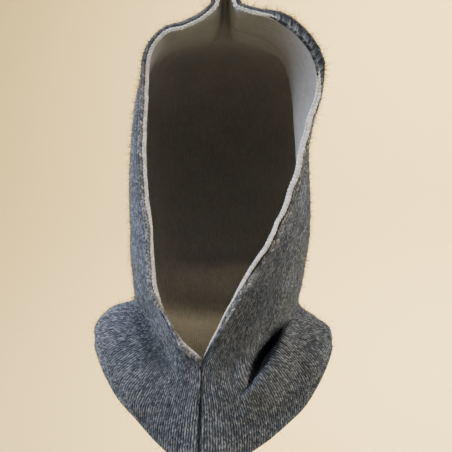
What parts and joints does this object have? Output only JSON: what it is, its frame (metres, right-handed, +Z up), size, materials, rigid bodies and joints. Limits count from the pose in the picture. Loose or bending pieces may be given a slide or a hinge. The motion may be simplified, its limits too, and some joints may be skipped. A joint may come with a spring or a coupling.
{
  "type": "knit hood",
  "caption": "Double-layer knitted hood with an open face edged in chain stitch, a front seam, a gathered neck and a draped cowl over the shoulders.",
  "frame": {"origin": "inner face of the crown where the hood rests on the top of a head", "axes": "+X to the viewer's right when the face opening is seen from the front, -Y out of the face opening, +Z up"},
  "size_m": [0.207, 0.2053, 0.3849],
  "materials": {
    "outer_knit": "charcoal marled fine-gauge wool knit, matt with a light fuzz",
    "lining": "light grey fine-gauge wool knit, matt and soft",
    "outer_edge_chain": "charcoal marled wool yarn in chain stitch",
    "lining_edge_chain": "light grey wool yarn in chain stitch"
  },
  "bodies": {
    "root": {"outer_knit": "outer_knit", "lining": "lining", "outer_edge_chain": "outer_edge_chain", "lining_edge_chain": "lining_edge_chain"}
  },
  "joints": []
}
